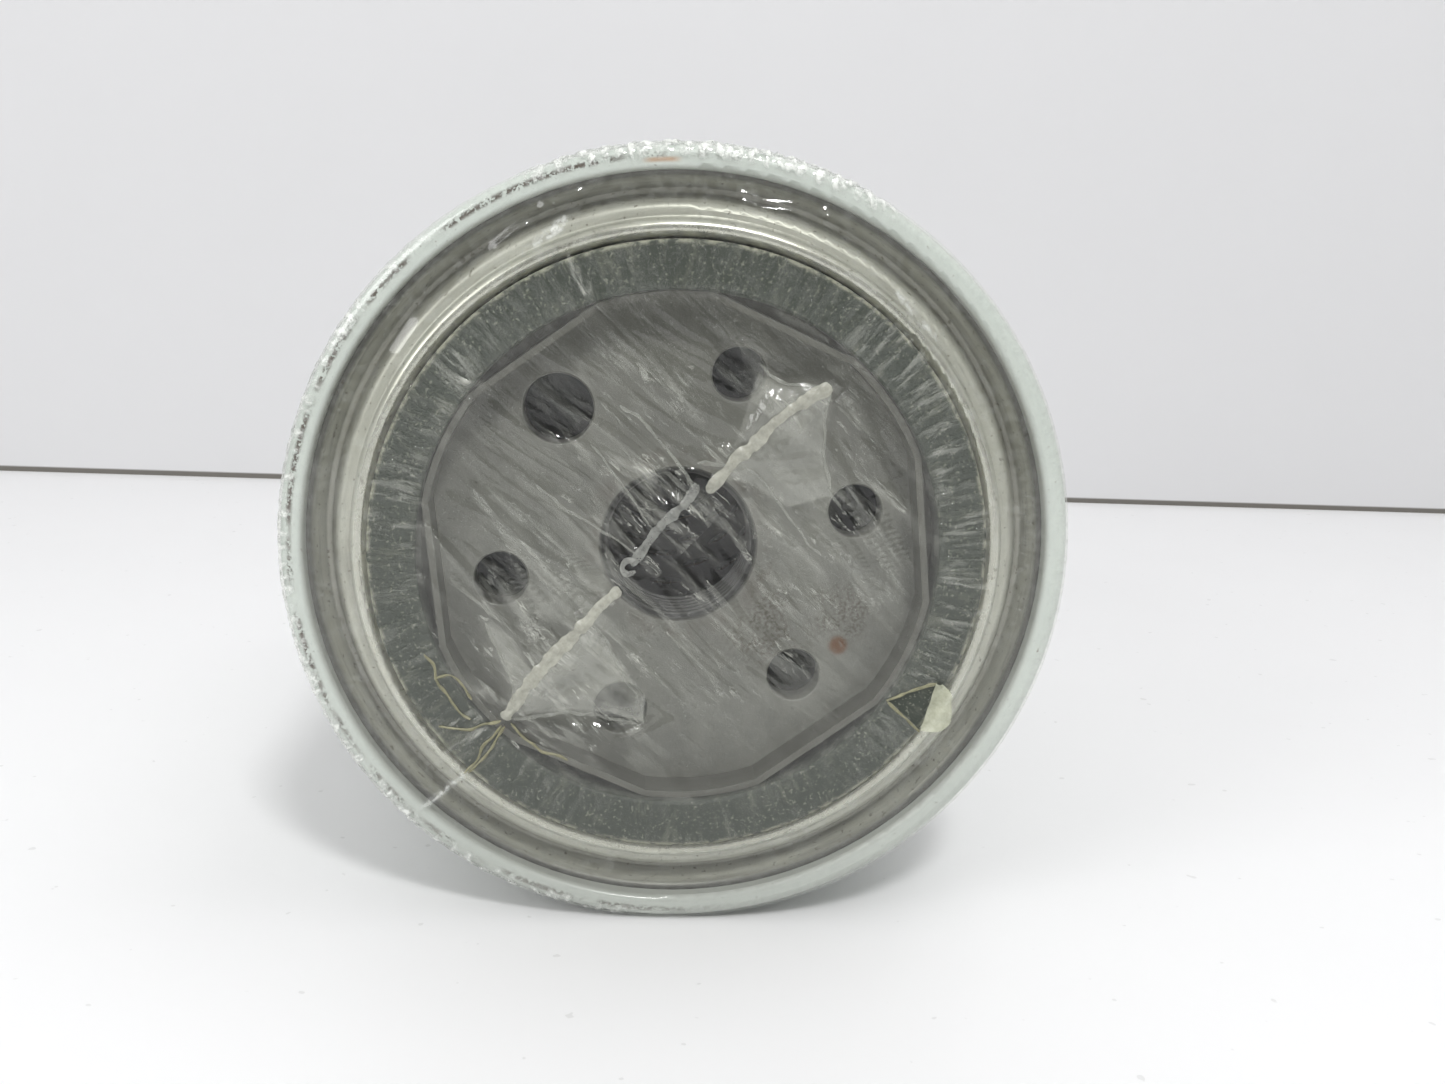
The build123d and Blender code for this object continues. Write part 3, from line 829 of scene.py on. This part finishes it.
def side_film():
    """Film round the seam and along the can, crinkled where it has shrunk most."""
    p = Paint("clear_film_side")
    milk = p.node("ShaderNodeAttribute", attribute_name="milk").outputs["Fac"]
    bubbles = p.noise(950, 4, 0.7)
    dust = p.times(p.step(p.noise(3000, 2, 0.5), 0.67, 0.71), 0.14)
    crinkled = p.math("ADD", p.times(p.step(bubbles, 0.38, 0.64), 1.5), 0.25)
    share = p.math("ADD", p.times(milk, crinkled), dust, clamp=True)
    return film_finish(p, share, p.bump(bubbles, 0.000015), (0.74, 0.76, 0.72))


use(film_face, face_film())
use(film_sleeve, side_film())
for piece in (film_face, film_sleeve):
    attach(piece, "film")
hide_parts("shrink_film")
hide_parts("shrink_film")


def smooth_path(path, spacing):
    """Evenly spaced points on a curve that rounds the path's corners."""
    path = np.asarray(path, float)
    for _ in range(2):
        cut = np.empty((2 * len(path) - 2, 2))
        cut[0::2] = 0.75 * path[:-1] + 0.25 * path[1:]
        cut[1::2] = 0.25 * path[:-1] + 0.75 * path[1:]
        path = np.vstack([path[:1], cut, path[-1:]])
    steps = np.hypot(*np.diff(path, axis=0).T)
    length = np.concatenate([[0], np.cumsum(steps)])
    at = np.linspace(0, length[-1], max(4, int(length[-1] / spacing)))
    return np.stack([np.interp(at, length, path[:, i]) for i in (0, 1)], axis=-1)


def ribbon_rows(path, width, lift, seed, wobble=0.25, thick=0.12, columns=7):
    """Rows of points across a wavy strip that lies on the film."""
    spacing = 0.22
    line = smooth_path(path, spacing)
    heading = np.gradient(line, axis=0)
    heading /= np.maximum(np.hypot(*heading.T), 1e-9)[:, None]
    side = np.stack([-heading[:, 1], heading[:, 0]], axis=-1)
    run = np.arange(len(line)) * spacing
    sway = (lattice_noise(run / 1.7 + 10, 5, seed) - 0.5) * wobble
    end = np.minimum(1.0, np.minimum(run + 0.35, run[-1] - run + 0.35) / 0.8)
    wide = width * (0.75 + 0.5 * lattice_noise(run / 0.9 + 30, 9, seed + 1)) * end
    rows = []
    for k in range(columns):
        s = 2 * k / (columns - 1) - 1
        jag = (lattice_noise(run / 0.45 + 20 * k, 3, seed + 2) - 0.5) * 0.16 * width
        offset = sway + s * wide / 2 + jag * abs(s)
        x = line[:, 0] + side[:, 0] * offset
        z = line[:, 1] + side[:, 1] * offset
        wave = (lattice_noise(run / 0.8 + 7 * k, 11, seed + 3) - 0.5) * thick * 1.6
        y = film_y(x, z) - lift - thick * (1 - s * s) - wave
        rows.append(np.stack([x, y, z], axis=-1))
    return np.stack(rows)


def strip_piece(name, strips, material):
    """Several strips joined into one piece that rides with the film."""
    points = []
    quads = []
    for rows in strips:
        first = len(points)
        tall, long = rows.shape[:2]
        points.extend(rows.reshape(-1, 3).tolist())
        for i in range(tall - 1):
            for j in range(long - 1):
                a = first + i * long + j
                quads.append((a, a + 1, a + long + 1, a + long))
    piece = mesh_piece(name, points, quads)
    use(piece, material)
    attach(piece, "film")
    return piece


def milky_strip(name, low, high, share):
    """Folded or sealed film, milkier than a single layer."""
    scale = 900
    p = Paint(name)
    fibre = p.noise(scale, 4, 0.7)
    base = p.mix(fibre, low, high)
    alpha = p.math("ADD", p.math("MULTIPLY", fibre, 0.5), share, clamp=True)
    relief = p.bump(p.noise(scale * 0.8, 3), 0.0001)
    return p.surface(Base_Color=base, Roughness=0.3, Alpha=alpha, Normal=relief)


upper_rows = ribbon_rows(seal_upper, 1.35, 0.12, 101)
middle_rows = ribbon_rows(seal_middle, 1.15, 0.14, 111)
lower_rows = ribbon_rows(seal_lower, 1.45, 0.12, 121)
curl_rows = ribbon_rows(seal_curl, 0.7, 0.3, 171)
cream = milky_strip("heat_sealed_film", (0.36, 0.36, 0.30), (0.58, 0.58, 0.50), 0.48)
strip_piece("film_heat_seal", [upper_rows, lower_rows], cream)
grey = milky_strip("loose_sealed_film", (0.34, 0.35, 0.32), (0.52, 0.53, 0.49), 0.22)
strip_piece("film_heat_seal_loose", [middle_rows, curl_rows], grey)

# folded edges of the webs and the sharpest creases, each with its width
web_edges = [
    ([(16.9, 20.0), (16.4, 17.6), (16.2, 15.0), (16.3, 11.6), (17.4, 8.0), (18.6, 6.2)], 0.34),
    ([(16.6, 20.4), (14.6, 20.6), (12.0, 20.4), (10.0, 21.4), (8.2, 22.6)], 0.36),
    ([(-19.3, -18.6), (-19.0, -16.2), (-20.4, -13.0), (-22.6, -8.6)], 0.34),
    ([(-19.8, -20.2), (-17.0, -19.8), (-12.2, -19.4), (-8.2, -19.8), (-4.2, -20.8)], 0.42),
    ([(-3.9, -20.6), (-4.2, -18.2), (-6.2, -14.6), (-9.6, -8.6)], 0.26),
    ([(5.6, 10.6), (3.6, 11.2), (1.6, 11.0)], 0.5),
    ([(-4.8, -0.2), (-8.4, 2.4), (-12.2, 4.2), (-16.8, 8.0)], 0.3),
    ([(-3.2, 3.2), (-7.0, 8.6), (-10.8, 12.8)], 0.26),
    ([(1.4, 8.4), (-1.4, 12.2), (-4.4, 15.4), (-7.4, 17.6)], 0.36),
    ([(7.0, 11.0), (10.4, 8.0), (14.0, 3.4), (16.4, 0.4)], 0.28),
]
web_rows = []
for i, (path, width) in enumerate(web_edges):
    web_rows.append(ribbon_rows(path, width, 0.05, 181 + 5 * i, wobble=0.5, thick=0.08, columns=5))
pale = milky_strip("folded_film_edge", (0.32, 0.33, 0.29), (0.50, 0.51, 0.46), 0.12)
strip_piece("film_folded_edges", web_rows, pale)

# thin strands of pulled film, by the torn end of the seal and along the tear
strand_paths = [
    [(-29.6, -12.6), (-28.6, -14.2), (-28.0, -16.2), (-26.8, -17.4), (-26.3, -19.0), (-24.3, -20.6)],
    [(-28.4, -15.4), (-26.4, -15.0), (-25.2, -16.6), (-24.0, -18.0)],
    [(-28.0, -21.6), (-25.0, -21.9), (-22.4, -21.4), (-20.6, -20.6)],
    [(-20.6, -21.2), (-22.6, -23.8), (-23.4, -25.6), (-25.0, -27.4)],
    [(-20.0, -21.4), (-21.6, -24.2), (-24.6, -27.2)],
    [(25.6, -17.3), (28.6, -15.8), (31.5, -14.8)],
    [(25.7, -17.2), (27.8, -18.9), (29.9, -21.0)],
    [(-19.6, -21.0), (-17.4, -23.4), (-15.0, -24.6), (-12.6, -25.4)],
]
strand_rows = []
for i, path in enumerate(strand_paths):
    strand_rows.append(ribbon_rows(path, 0.34, 0.10, 131 + 7 * i, wobble=0.5, thick=0.2, columns=5))
straw = milky_strip("yellowed_film", (0.26, 0.245, 0.13), (0.50, 0.48, 0.31), 0.35)
strip_piece("film_strands", strand_rows, straw)

# the flap that the tear folded back, from its fold to its free edge
flap_left = np.array([(31.4, -14.9), (31.0, -16.6), (30.6, -18.2), (30.2, -19.6), (29.9, -20.9)])
flap_right = np.array([(32.0, -14.7), (33.4, -15.9), (33.3, -17.6), (33.6, -19.4), (32.4, -20.6)])
flap = []
for k in range(9):
    t = k / 8
    line = smooth_path(flap_left * (1 - t) + flap_right * t, 0.35)
    line = line[np.linspace(0, len(line) - 1, 18).astype(int)]
    rise = 0.22 + 0.9 * math.sin(t * 2.1) + 0.12 * np.sin(np.arange(18) * 1.1 + 3 * t)
    flap.append(np.stack([line[:, 0], film_level - rise, line[:, 1]], axis=-1))
yellow = milky_strip("folded_film", (0.42, 0.44, 0.31), (0.60, 0.61, 0.48), 0.45)
strip_piece("film_torn_flap", [np.stack(flap)], yellow)

# ---------------------------------------------------------------- stage
floor_level = -47.3


def stage_piece(name, corners, material):
    piece = mesh_piece(name, corners, [(0, 1, 2, 3)], smooth=False)
    use(piece, material)
    return piece


def table_paint():
    """White table with a few specks."""
    p = Paint("pale_table")
    base = p.mix(p.noise(9, 3), (0.80, 0.80, 0.805), (0.845, 0.845, 0.85))
    specks = p.step(p.noise(420, 2, 0.4), 0.735, 0.76)
    base = p.mix(p.math("MULTIPLY", specks, 0.3), base, (0.45, 0.45, 0.44))
    return p.surface(Base_Color=base, Roughness=0.42, Normal=p.bump(p.noise(160, 3), 0.00006))


def wall_paint():
    """White wall with a dark line at its foot, clear from behind."""
    p = Paint("pale_wall")
    base = p.mix(p.noise(5, 3), (0.70, 0.70, 0.71), (0.74, 0.74, 0.75))
    edge = p.inverse(p.step(p.z, (floor_level + 1.3) * MM, (floor_level + 2.0) * MM))
    base = p.mix(p.math("MULTIPLY", edge, 0.9), base, (0.10, 0.09, 0.07))
    shader = p.node("ShaderNodeBsdfPrincipled", {"Base Color": base, "Roughness": 0.6})
    clear = p.node("ShaderNodeBsdfTransparent")
    behind = p.node("ShaderNodeNewGeometry").outputs["Backfacing"]
    both = p.node("ShaderNodeMixShader", {0: behind, 1: shader.outputs[0], 2: clear.outputs[0]})
    p.tree.links.new(both.outputs[0], p.output.inputs[0])
    return p.material


reach = 1500.0
wall_at = 311.0
wall_top = 900.0
square = [(-reach, -reach), (reach, -reach), (reach, reach), (-reach, reach)]
stage_piece("floor", [(x, y, floor_level) for x, y in square], table_paint())
upright = [(-reach, floor_level), (reach, floor_level), (reach, wall_top), (-reach, wall_top)]
stage_piece("backdrop", [(x, wall_at, z) for x, z in upright], wall_paint())

# ---------------------------------------------------------------- light and camera
world = bpy.data.worlds.new("soft_room")
bpy.context.scene.world = world
world.use_nodes = True
sky = world.node_tree
sky.nodes.clear()
direction = sky.nodes.new("ShaderNodeTexCoord").outputs["Generated"]
split = sky.nodes.new("ShaderNodeSeparateXYZ")
sky.links.new(direction, split.inputs[0])
ramp = sky.nodes.new("ShaderNodeValToRGB")
ramp.color_ramp.elements[0].position = 0.30
ramp.color_ramp.elements[0].color = (0.42, 0.42, 0.42, 1)
ramp.color_ramp.elements[1].position = 0.95
ramp.color_ramp.elements[1].color = (1.0, 1.0, 1.0, 1)
height = sky.nodes.new("ShaderNodeMath")
height.operation = "MULTIPLY_ADD"
height.inputs[1].default_value = 0.5
height.inputs[2].default_value = 0.5
sky.links.new(split.outputs[2], height.inputs[0])
sky.links.new(height.outputs[0], ramp.inputs[0])
back = sky.nodes.new("ShaderNodeBackground")
back.inputs["Strength"].default_value = 0.84
front = sky.nodes.new("ShaderNodeMapRange")
front.inputs[1].default_value = -1.0
front.inputs[2].default_value = -0.1
front.inputs[3].default_value = 0.46
front.inputs[4].default_value = 1.0
sky.links.new(split.outputs[1], front.inputs[0])
dim = sky.nodes.new("ShaderNodeVectorMath")
dim.operation = "SCALE"
sky.links.new(ramp.outputs[0], dim.inputs[0])
sky.links.new(front.outputs[0], dim.inputs["Scale"])
sky.links.new(dim.outputs[0], back.inputs["Color"])
sky_out = sky.nodes.new("ShaderNodeOutputWorld")
sky.links.new(back.outputs[0], sky_out.inputs[0])


def lamp(name, place, size, power):
    """A square area light in metres and watts that aims at the origin."""
    light = bpy.data.lights.new(name, "AREA")
    light.shape = "SQUARE"
    light.size = size
    light.energy = power
    holder = bpy.data.objects.new(name, light)
    bpy.context.scene.collection.objects.link(holder)
    holder.location = place
    x, y, z = place
    tilt = math.atan2(math.hypot(x, y), z)
    holder.rotation_euler = (tilt, 0, math.atan2(-y, -x) - math.pi / 2)


lamp("key", (0.14, -0.65, 0.74), 0.13, 4.6)
lamp("low_fill", (-0.62, -0.50, 0.40), 0.4, 2.2)
lamp("high_fill", (0.35, 0.10, 0.90), 0.5, 1.5)

# the camera looks along the can's axis from close by, a little from above
camera = bpy.data.objects.new("camera", bpy.data.cameras.new("camera"))
bpy.context.scene.collection.objects.link(camera)
bpy.context.scene.camera = camera
camera.data.lens = 36.87
camera.data.sensor_width = 36.0
camera.data.clip_start = 0.01
camera.location = (-0.00648, -0.17591, 0.03717)
camera.rotation_euler = tuple(math.radians(a) for a in (78.237, -2.314, -3.364))
bpy.context.scene.view_settings.view_transform = "Standard"
